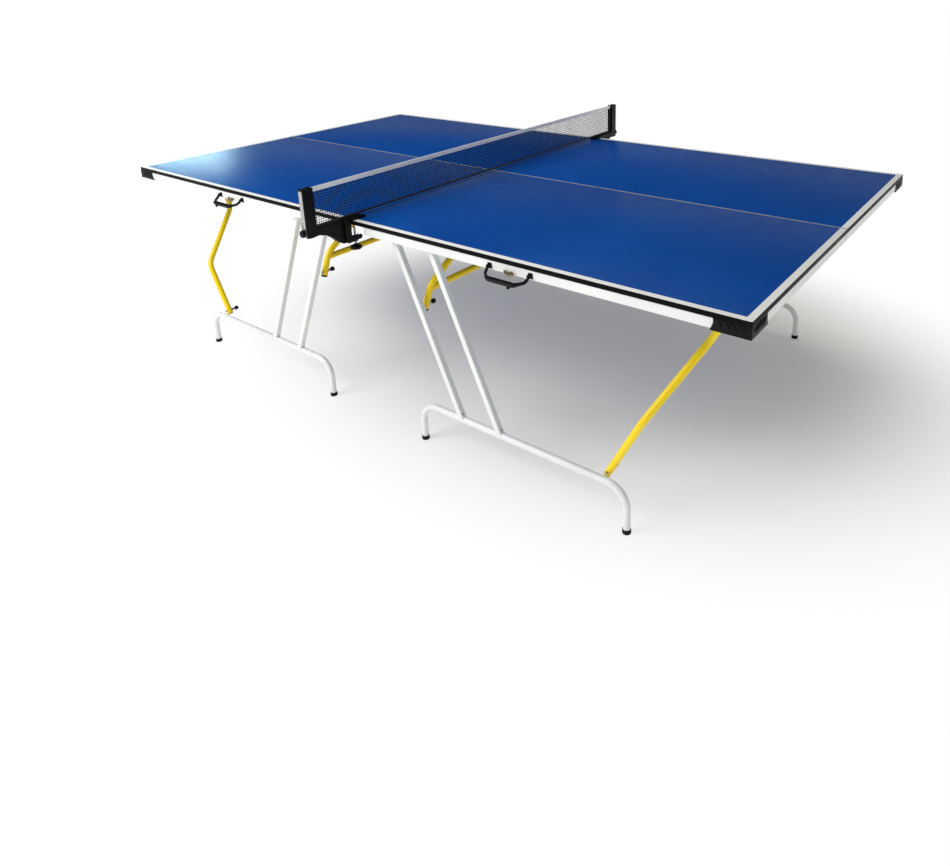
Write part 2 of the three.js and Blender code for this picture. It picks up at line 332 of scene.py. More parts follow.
class Nodes:
    """A material's node tree with a Principled surface, and short ways to add to it."""

    def __init__(self, name, **sockets):
        self.material = bpy.data.materials.new(name)
        self.material.use_nodes = True
        self.tree = self.material.node_tree
        self.surface = self.tree.nodes["Principled BSDF"]
        for socket, value in sockets.items():
            self.surface.inputs[socket.replace("_", " ")].default_value = value
        self.place = self.add("ShaderNodeTexCoord").outputs["Object"]

    def add(self, kind, inputs=(), **settings):
        node = self.tree.nodes.new(kind)
        for key, value in settings.items():
            setattr(node, key, value)
        for key, value in dict(inputs).items():
            if isinstance(value, bpy.types.NodeSocket):
                self.tree.links.new(value, node.inputs[key])
            else:
                node.inputs[key].default_value = value
        return node

    def link(self, value, socket):
        self.tree.links.new(value, self.surface.inputs[socket])

    def math(self, operation, a, b=0.0, clamp=False):
        return self.add("ShaderNodeMath", {0: a, 1: b}, operation=operation, use_clamp=clamp).outputs[0]

    def noise(self, scale, detail=2.0, rough=0.5, stretch=None):
        place = self.place
        if stretch:
            place = self.add("ShaderNodeVectorMath", {0: place, 1: stretch}, operation="MULTIPLY").outputs[0]
        node = self.add("ShaderNodeTexNoise", {"Vector": place, "Scale": scale, "Detail": detail,
                                               "Roughness": rough})
        return node.outputs["Fac"]

    def ramp(self, value, low, high, out_low, out_high):
        node = self.add("ShaderNodeMapRange", {"Value": value, "From Min": low, "From Max": high,
                                               "To Min": out_low, "To Max": out_high})
        return node.outputs["Result"]

    def mix(self, factor, a, b, blend="MIX"):
        node = self.add("ShaderNodeMix", {0: factor, 6: a, 7: b}, data_type="RGBA", blend_type=blend)
        return node.outputs[2]

    def bump(self, height, depth, strength=1.0, under=None):
        inputs = {"Height": height, "Distance": depth, "Strength": strength}
        if under is not None:
            inputs["Normal"] = under
        return self.add("ShaderNodeBump", inputs).outputs["Normal"]


def rgb(red, green, blue):
    """A colour given as it looks on a screen, from 0 to 255, turned into linear light."""
    return tuple(((c / 255 + 0.055) / 1.055) ** 2.4 if c > 10 else c / 255 / 12.92
                 for c in (red, green, blue)) + (1.0,)


def coated(name, colour, shade, rough, peel, patch=5.0, **sockets):
    """Powder coat, plastic or rubber: colour and gloss drift slowly, and the bump is a fine orange peel."""
    nodes = Nodes(name, **sockets)
    drift = nodes.noise(patch, 4, 0.55)
    speck = nodes.noise(1900, 1)
    tone = nodes.mix(nodes.ramp(drift, 0.38, 0.68, 0, 1), colour, shade)
    fleck = nodes.ramp(speck, 0.3, 0.7, 0.94, 1.06)
    flecked = nodes.add("ShaderNodeVectorMath", {0: tone, 3: fleck}, operation="SCALE").outputs[0]
    nodes.link(flecked, "Base Color")
    nodes.link(nodes.ramp(nodes.noise(38, 5, 0.6), 0.3, 0.7, rough[0], rough[1]), "Roughness")
    scale, depth, detail = peel
    nodes.link(nodes.bump(nodes.noise(scale, detail), depth, 0.7), "Normal")
    return nodes.material


SIDE_LINE = 20.5
CENTRE_LINE = 3.4
PAINT_DEPTH = 4


def board_paint():
    """Blue playing surface with its white side, end and centre lines rolled on top of the blue."""
    nodes = Nodes("board_paint", IOR=1.5, Specular_IOR_Level=0.2)
    axes = nodes.add("ShaderNodeSeparateXYZ", {0: nodes.place}).outputs
    across, along = nodes.math("ABSOLUTE", axes[1]), nodes.math("ABSOLUTE", axes[0])
    fray = nodes.ramp(nodes.noise(700, 2), 0.3, 0.7, -0.00025, 0.00025)
    side = nodes.math("GREATER_THAN", nodes.math("ADD", across, fray), (-SIDE_Y - SIDE_LINE) * MM)
    end = nodes.math("GREATER_THAN", nodes.math("ADD", along, fray), (END_X - SIDE_LINE) * MM)
    centre = nodes.math("LESS_THAN", nodes.math("ADD", across, fray), CENTRE_LINE * MM)
    lines = nodes.math("MAXIMUM", nodes.math("MAXIMUM", side, end), centre)
    lines = nodes.math("MULTIPLY", lines, nodes.math("GREATER_THAN", axes[2], (TOP - PAINT_DEPTH) * MM))
    blue = nodes.mix(nodes.ramp(nodes.noise(2.2, 5, 0.6), 0.35, 0.7, 0, 1), rgb(0, 65, 143), rgb(0, 74, 155))
    blue = nodes.mix(nodes.ramp(nodes.noise(900, 2), 0.45, 0.75, 0, 0.35), blue, rgb(4, 84, 168))
    white = nodes.mix(nodes.noise(60, 4), rgb(222, 221, 217), rgb(236, 236, 233))
    nodes.link(nodes.mix(lines, blue, white), "Base Color")
    gloss = nodes.ramp(nodes.noise(16, 6, 0.65), 0.3, 0.7, 0.29, 0.37)
    nodes.link(nodes.math("ADD", gloss, nodes.math("MULTIPLY", lines, 0.08)), "Roughness")
    texture = nodes.bump(nodes.noise(1400, 2), 0.00012, 0.55)
    nodes.link(nodes.bump(lines, 0.00012, 0.8, texture), "Normal")
    return nodes.material


def plated(name, colour, shade, rough, brush):
    """Plated steel: faint crystal patches, and fine scratches drawn out along one direction."""
    nodes = Nodes(name, Metallic=1.0)
    cells = nodes.add("ShaderNodeTexVoronoi", {"Vector": nodes.place, "Scale": 130}).outputs["Distance"]
    scratch = nodes.noise(420, 4, 0.7, brush)
    nodes.link(nodes.mix(nodes.math("MULTIPLY", cells, scratch), colour, shade), "Base Color")
    nodes.link(nodes.ramp(scratch, 0.3, 0.7, rough[0], rough[1]), "Roughness")
    nodes.link(nodes.bump(scratch, 0.00008, 0.5), "Normal")
    return nodes.material


def woven(name, colour, shade, threads, depth, rough):
    """Cloth tape: crossed threads running along the net and up it, with a little fuzz in the colour."""
    nodes = Nodes(name, Roughness=rough, Sheen_Weight=0.25, Sheen_Roughness=0.5, IOR=1.45)
    axes = nodes.add("ShaderNodeSeparateXYZ", {0: nodes.place}).outputs
    warp = nodes.math("SINE", nodes.math("MULTIPLY", axes[1], threads))
    weft = nodes.math("SINE", nodes.math("MULTIPLY", axes[2], threads))
    weave = nodes.math("MULTIPLY", warp, weft)
    fuzz = nodes.noise(800, 3)
    tone = nodes.mix(nodes.ramp(weave, -1, 1, 0, 1), colour, shade)
    nodes.link(nodes.mix(nodes.ramp(fuzz, 0.4, 0.8, 0, 0.5), tone, shade), "Base Color")
    nodes.link(nodes.bump(nodes.math("ADD", weave, fuzz), depth, 0.8), "Normal")
    return nodes.material


def twine():
    """Black nylon twine with its twist."""
    nodes = Nodes("net_twine", Roughness=0.6, Specular_IOR_Level=0.15)
    axes = nodes.add("ShaderNodeSeparateXYZ", {0: nodes.place}).outputs
    climb = nodes.math("ADD", nodes.math("ADD", axes[0], axes[1]), axes[2])
    twist = nodes.math("SINE", nodes.math("MULTIPLY", climb, 7000))
    nodes.link(nodes.mix(nodes.ramp(twist, -1, 1, 0, 1), rgb(9, 9, 11), rgb(24, 25, 28)), "Base Color")
    nodes.link(nodes.bump(nodes.math("ADD", twist, nodes.noise(1500, 2)), 0.0002, 0.7), "Normal")
    return nodes.material


FINISHES = {
    "board": (board_paint(), "board_paint"),
    "white": (coated("white_powder_coat", rgb(238, 240, 236), rgb(226, 229, 225), (0.3, 0.42),
                     (950, 0.00016, 2), IOR=1.5), "white_paint"),
    "yellow": (coated("yellow_powder_coat", rgb(255, 222, 0), rgb(250, 210, 0), (0.27, 0.4),
                      (950, 0.00016, 2), IOR=1.5), "yellow_paint"),
    "edge": (coated("black_edge_band", rgb(7, 7, 8), rgb(12, 12, 13), (0.44, 0.56),
                    (1600, 0.0001, 3), Specular_IOR_Level=0.07), "black_plastic"),
    "plastic": (coated("black_moulded_plastic", rgb(8, 8, 9), rgb(14, 14, 15), (0.36, 0.5),
                       (1300, 0.00022, 4), patch=14, Specular_IOR_Level=0.16), "black_plastic"),
    "rubber": (coated("black_rubber", rgb(16, 16, 16), rgb(26, 25, 25), (0.68, 0.85),
                      (700, 0.0003, 5), patch=25, Specular_IOR_Level=0.25), "black_rubber"),
    "zinc": (plated("zinc_plate", rgb(186, 188, 190), rgb(150, 152, 156), (0.26, 0.44), (1, 8, 8)),
             "zinc_steel"),
    "steel": (plated("bright_steel", rgb(205, 205, 204), rgb(160, 158, 154), (0.16, 0.32), (6, 6, 1)),
              "bright_steel"),
    "latch": (plated("nickel_latch", rgb(168, 152, 122), rgb(98, 82, 56), (0.2, 0.36), (3, 3, 3)),
              "bright_steel"),
    "net": (twine(), "net_textile"),
    "tape": (woven("white_net_tape", rgb(252, 252, 252), rgb(236, 236, 240), 5200, 0.0003, 0.8),
             "net_textile"),
    "hem": (woven("black_net_hem", rgb(16, 17, 20), rgb(34, 35, 40), 5200, 0.0003, 0.75), "net_textile"),
}


# --- turning shapes into pieces -------------------------------------------------------------------

def make(name, shape, finish, body, sides=(1, 1), stands_for=(), smooth=38):
    """One piece from a shape, mirrored to the quarter that sides names, riding on a CAD body."""
    mesh = bpy.data.meshes.new(name)
    across = Vector((sides[0], sides[1], 1)) * MM
    mesh.from_pydata([p * across for p in shape.points], [], shape.faces)
    bm = bmesh.new()
    bm.from_mesh(mesh)
    bmesh.ops.recalc_face_normals(bm, faces=bm.faces)
    bm.to_mesh(mesh)
    bm.free()
    mesh.polygons.foreach_set("use_smooth", [True] * len(mesh.polygons))
    mesh.set_sharp_from_angle(angle=math.radians(smooth))
    material, slot = FINISHES[finish]
    mesh.materials.append(material)
    piece = bpy.data.objects.new(name, mesh)
    bpy.context.scene.collection.objects.link(piece)
    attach(piece, body)
    if stands_for:
        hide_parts(*stands_for)
    return piece


# --- the board and what is fixed to it ------------------------------------------------------------

def board():
    x, y = (BOARD_LOW.x + BAND, END_X - BAND), (SIDE_Y + BAND, BOARD_HIGH.y - BAND)
    outline = softened([(x[0], y[0], 1), (x[1], y[0], 3), (x[1], y[1], 1), (x[0], y[1], 1)])
    return prism(Shape(), outline, "z", UNDERSIDE, TOP, bevel=0.35)


def edge_band():
    """The plastic strip glued round the board's four edges."""
    def outline(inset):
        x, y = (BOARD_LOW.x + inset, END_X - inset), (SIDE_Y + inset, BOARD_HIGH.y - inset)
        near = 4 - inset
        return softened([(x[0], y[0], 1.6), (x[1], y[0], near), (x[1], y[1], 1.6), (x[0], y[1], 1.6)], 5)
    rings = []
    for inset, z in ((0, UNDERSIDE + 0.6), (0, TOP - 0.7), (0.25, TOP - 0.25), (BAND, TOP - 0.05),
                     (BAND, UNDERSIDE + 0.05), (0.25, UNDERSIDE + 0.2)):
        rings.append([(a, b, z) for a, b in outline(inset)])
    return skin(Shape(), rings, closed=True)


def channel(face):
    """Folded sheet channel as (outward, z, corner radius) points: web outside, flanges turned inward."""
    low, high, sheet = APRON_LOW.z, APRON_HIGH.z, 2
    return [(face, low, 3), (face, high, 2.2), (face - 22, high, 0.4), (face - 22, high - sheet, 0.4),
            (face - sheet, high - sheet, 0.8), (face - sheet, low + sheet, 1), (face - 13, low + sheet, 0.7),
            (face - 13, low, 0.7)]


def side_apron():
    profile = softened([(-y, z, r) for y, z, r in channel(APRON_FACE)], 4)
    return prism(Shape(), profile, "x", APRON_LOW.x, APRON_HIGH.x, bevel=0)


def end_apron():
    return prism(Shape(), softened(channel(END_APRON_FACE), 4), "y", -735, -3, bevel=0)


def apron_screws():
    """Dark screws in the aprons' lower flanges, and a pair at each end of the leg hanger's strip."""
    shape = Shape()
    for x in (131, 466, 560, 830, 1100):
        screw_head(shape, (x, -APRON_FACE + 7, APRON_LOW.z), (0, 0, -1), 3.6)
    for y in (-560, -300, -60):
        screw_head(shape, (END_APRON_FACE - 7, y, APRON_LOW.z), (0, 0, -1), 3.6)
    for x in (141, 429):
        for y in (-722, -708):
            screw_head(shape, (x, y, APRON_HIGH.z - 2.6), (0, 0, -1), 4.4)
    return shape


def apron_plug():
    """Small black end plug where the side apron stops short of the net."""
    face, low, high = APRON_FACE, APRON_LOW.z + 0.6, APRON_HIGH.z - 0.4
    inside = [(face - 0.6, low), (face - 0.6, high), (face - 20, high), (face - 12.4, low)]
    outline = softened([(-y, z, 1.4) for y, z in inside])
    return prism(Shape(), outline, "x", APRON_LOW.x - 2.4, APRON_LOW.x + 1, bevel=0.7)


def crescent(shape, start, end, place, width):
    """A raised crescent moulded on a wall. place turns its flat (along, z) points into space."""
    start, end = Vector(start), Vector(end)
    lift = Vector((end.y - start.y, start.x - end.x)).normalized() * -0.24 * (end - start).length
    path, sizes = [], []
    for i in range(13):
        t = i / 12
        flat = start * (1 - t) ** 2 + (start.lerp(end, 0.5) + lift * 2) * (2 * t * (1 - t)) + end * t ** 2
        path.append(place(flat.x, flat.y))
        sizes.append(0.15 + math.sin(math.pi * (0.04 + 0.92 * t)) ** 0.8)
    return sweep(shape, path, circle(width, 12), up=place(0, 0, True), scale=sizes)


def corner_cap():
    """Moulded corner: two walls with hollowed ends, a bottom plate, a round corner and rows of crescents."""
    shape = Shape()
    low, high, thick = CAP_LOW.z, CAP_HIGH.z, 2.7

    def wall(outer, length):
        points = [(outer, low, 1.2), (outer, high, 0), (outer - length + 7, high, 2)]
        for i in range(1, 12):
            t = i / 12
            hollow = 5 * math.sin(t * math.pi) * (1 - 0.75 * t)
            points.append((outer - length + 6 * (1 - t) + hollow, high + (low - high) * t, 0))
        return points + [(outer - length, low, 0.8)]

    side = softened(wall(END_X, 100))
    prism(shape, side, "y", SIDE_Y, SIDE_Y + thick, bevel=0.55)
    end = softened([(-y, z, r) for y, z, r in wall(-SIDE_Y, 105)])
    prism(shape, end, "x", END_X - thick, END_X, bevel=0.55)
    x, y = END_X, SIDE_Y
    plate = [(x, y, 2.5), (x, y + 105, 1), (x - 16, y + 105, 4), (x - 30, y + 45, 12), (x - 45, y + 30, 12),
             (x - 100, y + 16, 4), (x - 100, y, 1)]
    prism(shape, softened(plate, 5), "z", low, low + 2.2, bevel=0.5)
    tube(shape, [(x - 0.9, y + 0.9, low + 0.6), (x - 0.9, y + 0.9, high)], 1.6, soft=0.4, sides=16)
    arcs = [((13, 27.5), (27, 6), 2.4), ((28, 27.5), (46, 7), 2.8), ((43, 27.5), (64, 8), 2.8),
            ((58, 26.5), (79, 10), 2.4), ((73, 25), (90, 14), 1.8)]
    for (a0, z0), (a1, z1), width in arcs:
        crescent(shape, (x - 100 + a0, low + z0), (x - 100 + a1, low + z1),
                 lambda a, z, up=False: Vector((0, -1, 0)) if up else Vector((a, SIDE_Y + 0.15, z)), width)
        crescent(shape, (-y - 105 + a0, low + z0), (-y - 105 + a1, low + z1),
                 lambda a, z, up=False: Vector((1, 0, 0)) if up else Vector((END_X - 0.15, -a, z)), width)
    return shape


def leg_hanger():
    """The white bracket under the board: a flat strip with two ears that hold the leg's bar."""
    shape = Shape()
    y = (LEG_PIVOT.y - 14, LEG_PIVOT.y + 14)
    high = APRON_HIGH.z
    prism(shape, rectangle((130, 440), y, 3), "z", high - 2.5, high, bevel=0.3)
    for x in (150.5, 414.5):
        ear = [(y[0], high - 1, 0), (y[0], LEG_PIVOT.z - 4, 4), (LEG_PIVOT.y - 7, LEG_PIVOT.z - 14, 5),
               (LEG_PIVOT.y + 7, LEG_PIVOT.z - 14, 5), (y[1], LEG_PIVOT.z - 4, 4), (y[1], high - 1, 0)]
        prism(shape, softened(ear, 4), "x", x + 1, x + 4, bevel=0.4)
        tube(shape, [(x + 2.5, y[0] + 1, high - 3), (x + 2.5, y[1] - 1, high - 3)], 2.2, soft=0.6, sides=14)
    return shape


def pivot_bolts():
    """Bolts on which the leg's bar turns."""
    shape = Shape()
    profile = [(0, -1.5), (8, -1.5), (8, 0), (6.4, 0), (6.4, 3.6), (5.6, 4.6), (0, 4.6)]
    for x, out in ((151.5, -1), (418.5, 1)):
        lathe(shape, profile, (x, LEG_PIVOT.y, LEG_PIVOT.z), (out, 0, 0))
    return shape


def saddles():
    """Black straps that hold the two braces' pivot tubes against the underside."""
    shape = Shape()
    places = ((NET_BRACE["x"], -186), (END_BRACE["x"], -541), (NET_BRACE["x"], -100), (END_BRACE["x"], -120))
    for x, y in places:
        arc = [(x - 24, UNDERSIDE - 1.6), (x - 14.5, UNDERSIDE - 1.6)]
        for i in range(13):
            angle = math.radians(165 + 210 * i / 12)
            arc.append((x + 13.2 * math.cos(angle), BRACE_Z - 0.6 + 13.2 * math.sin(angle)))
        arc += [(x + 14.5, UNDERSIDE - 1.6), (x + 24, UNDERSIDE - 1.6)]
        path = rounded([(a, y, z) for a, z in arc], 1.5, 20)
        sweep(shape, path, rectangle((-9, 9), (-1.1, 1.1), 0.7), up=(0, 0, -1))
        for side in (-19, 19):
            screw_head(shape, (x + side, y, UNDERSIDE - 2.6), (0, 0, -1), 3.2)
    return shape


def hinge_rail():
    """Zinc angle along the centre edge, with screws in its flange and the rims of holes on its web."""
    shape = Shape()
    low, high = RAIL_LOW, RAIL_HIGH
    web, flange = -27, high.z - 2.2
    profile = [(low.y, high.z, 0.6), (high.y, high.z, 0.6), (high.y, flange, 0.8), (web + 1, flange, 1.2),
               (web + 1, low.z, 0.8), (web - 1, low.z, 0.8), (web - 1, flange, 1.2), (low.y, flange, 0.8)]
    prism(shape, softened(profile), "x", low.x, high.x, bevel=0.25)
    rim = [(0, -0.4), (7, -0.4), (7.6, 0.3), (6.2, 0.9), (4.6, 0.5), (0, 0.5)]
    for i in range(8):
        x = low.x + 40 + i * (high.x - low.x - 80) / 7
        screw_head(shape, (x, low.y + 9, flange), (0, 0, -1), 4)
        lathe(shape, rim, (x + 34, web - 1, high.z - 17), (0, -1, 0), 20)
    return shape


def handle_feet():
    """Brackets on the apron whose pins carry the eyes of the carrying handle."""
    shape = Shape()
    face, pivot = -APRON_FACE, HANDLE_PIVOT
    for x in HANDLE_X:
        outline = [(x - 8, 721, 2), (x + 8, 721, 2), (x + 8, 738, 3), (x - 8, 738, 3)]
        prism(shape, softened(outline), "y", face - 1.3, face, bevel=0.4)
        for side in (-5.4, 5.4):
            lug = [(face - 0.4, 723, 0), (face - 0.4, 735, 0), (pivot.y - 1, 732, 3), (pivot.y - 3.4, 729, 3),
                   (pivot.y - 1, 726, 3)]
            prism(shape, softened(lug), "x", x + side - 0.9, x + side + 0.9, bevel=0.35)
        tube(shape, [(x - 7, pivot.y, pivot.z), (x + 7, pivot.y, pivot.z)], 1.5, soft=0.4, sides=12)
    return shape


def wing_latch():
    """The metal butterfly of the fold lock on the side apron: a stud with two wings."""
    shape = Shape()
    middle, face = HANDLE_PIVOT.x, -APRON_FACE
    stud = [(0, -0.5), (7, -0.5), (7, 1.2), (4.5, 2.2), (4, 8), (3, 9), (0, 9)]
    lathe(shape, stud, (middle, face, 718), (0, -1, 0))
    wing = [(1.5, 716, 1), (4, 711, 1.5), (15, 717, 5), (18, 729, 7), (8, 732, 5), (2, 721, 1)]
    for side in (-1, 1):
        outline = [(middle + side * x, z, radius) for x, z, radius in wing[::side]]
        prism(shape, softened(outline, 4), "y", face - 7.4, face - 5.2, bevel=0.6)
    return shape


# --- the leg --------------------------------------------------------------------------------------

def splayed(x, z):
    """A point in the leg's plane, which splays outward by a millimetre on its way to the floor."""
    return Vector((x, LEG_PIVOT.y - (LEG_PIVOT.z - z) / LEG_PIVOT.z, z))


LEG_TOPS = (172, 330)
LEG_TUBE = rectangle((-10, 10), (-10, 10), 2.6)


def leg_frame():
    """The square turning bar, its two slanted tubes and the welds at both their ends."""
    shape = Shape()
    bar = [(x, LEG_PIVOT.y, LEG_PIVOT.z) for x in (158, 412)]
    sweep(shape, bar, LEG_TUBE, up=(0, 0, 1), soft=0.8)
    for top in LEG_TOPS:
        foot = top + LEG_LEAN * (LEG_PIVOT.z - FOOT_TUBE_Z)
        start = splayed(top + LEG_LEAN * 2, LEG_PIVOT.z - 2)
        sweep(shape, [start, splayed(foot, FOOT_TUBE_Z)], LEG_TUBE, up=(0, 1, 0))
        for level, upper in ((LEG_PIVOT.z - 10, True), (FOOT_TUBE_Z, False)):
            centre = top + LEG_LEAN * (LEG_PIVOT.z - level)
            seam = []
            for a, b in rectangle((-11, 11), (-10, 10), 3, 4):
                height = 0 if upper else math.sqrt(TUBE ** 2 - min(abs(b), 9.9) ** 2)
                point = splayed(centre + a - LEG_LEAN * height, level + height)
                seam.append(point + Vector((0, b, 0)))
            bead(shape, [here.lerp(after, t) for here, after in zip(seam, seam[1:] + seam[:1])
                         for t in (0, 0.33, 0.66)])
    return shape


def drain_plugs():
    """Small plugs in the drain holes low on the square tubes."""
    shape = Shape()
    profile = [(0, -1.2), (2.6, -1.2), (2.6, 0.2), (1.8, 0.7), (0, 0.7)]
    z = FOOT_TUBE_Z + 20
    for top in LEG_TOPS:
        x = top + LEG_LEAN * (LEG_PIVOT.z - z) + 10.9
        lathe(shape, profile, splayed(x, z), (0.91, 0, 0.41))
    return shape


def foot_tube():
    corners = [(FEET_X[0], FOOT_Y, 6.5), splayed(FEET_X[0], FOOT_TUBE_Z), splayed(FEET_X[1], FOOT_TUBE_Z),
               (FEET_X[1], FOOT_Y, 6.5)]
    return tube(Shape(), corners, bend=90, sides=32)


def foot_cap(x):
    """A rubber boot with a tread groove, a ribbed skirt and a rolled lip."""
    profile = [(0, 0), (4, 0.3), (5, 0.9), (6, 0.3), (11, 0), (12.6, 0.8), (13.1, 2.2), (13.1, 5.2),
               (12.5, 6.2), (12.9, 7.2), (12.9, 10), (12.4, 10.9), (12.9, 11.8), (12.9, 13.8), (12.2, 14.8),
               (11.3, 14.4), (11.2, 6.2), (0, 6.2)]
    return lathe(Shape(), profile, (x, FOOT_Y, 0), sides=36)


# --- the braces -----------------------------------------------------------------------------------

def hung(brace, y, down):
    """A point of a brace given by its y and its distance below the pivot tube."""
    lean = math.radians(brace["lean"])
    return Vector((brace["x"] - down * math.sin(lean), y, BRACE_Z - down * math.cos(lean)))


def brace_bar(shape, brace, outer_y):
    """The crossbar of a brace and its inner leg, welded to the outer leg at outer_y and the pivot tube."""
    depth = brace["crossbar"]
    corners = [hung(brace, outer_y, depth), hung(brace, BRACE_INNER_Y, depth), hung(brace, BRACE_INNER_Y, 0)]
    tube(shape, corners, bend=30, soft=0)
    down = hung(brace, 0, 1) - hung(brace, 0, 0)
    tee_bead(shape, hung(brace, BRACE_INNER_Y, 0), (0, 1, 0), down)
    tee_bead(shape, corners[0], down, (0, 1, 0))


NET_BENDS = [hung(NET_BRACE, *bend) for bend in ((BRACE_END_Y, 0), (-369, 0), (-657, 178), (-688, 256))]
NET_PIN = hung(NET_BRACE, -683, 243)
END_BENDS = [hung(END_BRACE, *bend) for bend in ((-495, 0), (-495, 215), (-688, 432), (-688, 666))]
END_PIN = hung(END_BRACE, -688, 652)
END_PIVOT_TUBE = [hung(END_BRACE, y, 0) for y in (-634, BRACE_END_Y)]


def net_brace():
    """A bent tube that is its own pivot tube, with its crossbar and inner leg."""
    shape = tube(Shape(), NET_BENDS, bend=60)
    brace_bar(shape, NET_BRACE, -660)
    return shape


def end_brace():
    """An S-bent tube that hangs from a pivot tube, with its crossbar and inner leg."""
    shape = tube(Shape(), END_PIVOT_TUBE)
    tube(shape, END_BENDS, bend=70)
    brace_bar(shape, END_BRACE, END_BENDS[0].y)
    tee_bead(shape, END_BENDS[0], (0, 1, 0), hung(END_BRACE, 0, 1) - hung(END_BRACE, 0, 0))
    return shape


def tube_plug(shape, tip, back, length=6, radius=TUBE):
    """A domed plastic plug that closes a tube's end. back is a point further back along the tube."""
    tip, back = Vector(tip), Vector(back)
    profile = [(0, -9), (radius - 2, -9), (radius - 2, -0.6), (radius + 0.5, -0.6),
               (radius + 0.5, 0.55 * length), (radius - 1, 0.85 * length), (radius - 5, length), (0, length)]
    return lathe(shape, profile, tip, tip - back, sides=28)


def net_brace_plugs():
    shape = Shape()
    tube_plug(shape, NET_BENDS[-1], NET_BENDS[-2])
    return tube_plug(shape, NET_BENDS[0], NET_BENDS[1], 3)


def end_brace_plugs():
    shape = Shape()
    outer, inner = END_PIVOT_TUBE
    tube_plug(shape, END_BENDS[-1], END_BENDS[-2], 2, TUBE - 0.5)
    tube_plug(shape, outer, inner, 3)
    return tube_plug(shape, inner, outer, 3)


def lock_knob(at):
    """The black pull knob of a spring pin, ribbed round its rim."""
    profile = [(0, 23), (4.4, 23), (4.8, 24), (4.8, 27), (7.4, 28), (8.1, 30), (8.1, 37), (6.8, 39.4),
               (3.4, 40.6), (0, 40.8)]
    return lathe(Shape(), profile, at, (0, 1, 0), sides=48, lobes=12, depth=0.035)


def lock_pin(at):
    """The spring pin itself: a rod through the tube with a riveted head and a spring sleeve."""
    profile = [(0, -14.6), (3.6, -14.6), (4.4, -13.4), (4.4, -11.4), (2.6, -11.2), (2.6, 11), (6.4, 11),
               (6.4, 13), (5, 13.6), (5, 21), (3.2, 22), (3.2, 25), (0, 25)]
    return lathe(Shape(), profile, at, (0, 1, 0), sides=20)


# --- the handle, hinge and net --------------------------------------------------------------------

def handle():
    """A moulded bail: eyes on the bracket pins, S-curved arms and a broad ribbed grip with a nub."""
    shape = Shape()
    middle, y, z = HANDLE_PIVOT
    half = [(608, y - 3.5, z - 3.5), (609, y - 8, z - 8), (612, y - 17, z - 13), (634, y - 36, z - 18)]
    corners = half + [(2 * middle - a, b, c) for a, b, c in reversed(half)]
    path = resampled(rounded(corners, 13), 2.4)
    sizes = []
    for point in path:
        from_middle = abs(point.x - middle)
        grip = 1 / (1 + math.exp((from_middle - 50) / 4))
        rib = 0.035 * math.cos(from_middle * 2 * math.pi / 7.2) if from_middle < 44 else 0
        sizes.append(0.62 + 0.42 * grip + rib)
    section = rectangle((-6.6, 6.6), (-6.2, 6.2), 4, 5)
    sweep(shape, path, section, up=(0, -1, -1), scale=sizes)
    for x in HANDLE_X:
        hoop(shape, [(x, y + a, z + b) for a, b in circle(4.1, 18)], circle(2.1, 10))
    nub = [(0, 0), (5, 0), (4.8, 9), (3.4, 12.4), (0, 13.5)]
    return lathe(shape, nub, (middle + 31, y - 36, z - 19), (0, -0.35, -1))


def hinge_leaf():
    """A zinc link with rolled knuckles round its two pins."""
    shape = Shape()
    low, high = LEAF_LOW, LEAF_HIGH
    middle = (low.z + high.z) / 2
    pins = (-20, 20)
    prism(shape, rectangle((low.x, high.x), pins, 4), "z", middle - 1.5, middle + 1.5, bevel=0.5)
    for y in pins:
        tube(shape, [(low.x + 0.2, y, middle), (high.x - 0.2, y, middle)], 3.2, soft=0.6, sides=16)
        count = 14
        step = (high.x - low.x) / count
        for i in range(count):
            start = low.x + i * step + (1 if i % 2 else 0.4)
            knuckle = [(start, y, middle), (start + step - 2, y, middle)]
            tube(shape, knuckle, 4.6 if i % 2 else 4.0, soft=0.5, sides=18)
    return shape


def clamp_body():
    """The moulded post and bracket, with a lipped top, side ribs and an arched lower edge."""
    shape = Shape()
    outer, inner = POST_Y
    outline = [(outer, 741, 4), (-907, 739, 6), (-882, 741, 10), (-852, 732, 14), (-826, 714, 14),
               (-808, 696, 10), (-794, 687, 8), (-778, 684, 5), (-765, 684, 2), (-765, 766, 2),
               (inner, 766, 2), (inner, 898, 2), (inner - 5, 900, 1.5), (inner - 10, 897.2, 2),
               (outer + 10, 897.2, 2), (outer + 6, 900, 1.5), (outer, 898.5, 2)]
    prism(shape, softened(outline, 4), "x", -12, 12, bevel=1.4, segments=3)
    rib = ((-896, 751), (-874, 752), (-838, 741), (-806, 716), (-784, 700))
    for side in (-1, 1):
        raised = sorted((side * 11.5, side * 13))
        block(shape, raised, (outer + 3, outer + 6), (748, 892))
        block(shape, raised, (inner - 6, inner - 3), (772, 892))
        sweep(shape, rounded([(side * 12, y, z) for y, z in rib], 14, 12), circle(1.3, 10), soft=0.4)
    return shape


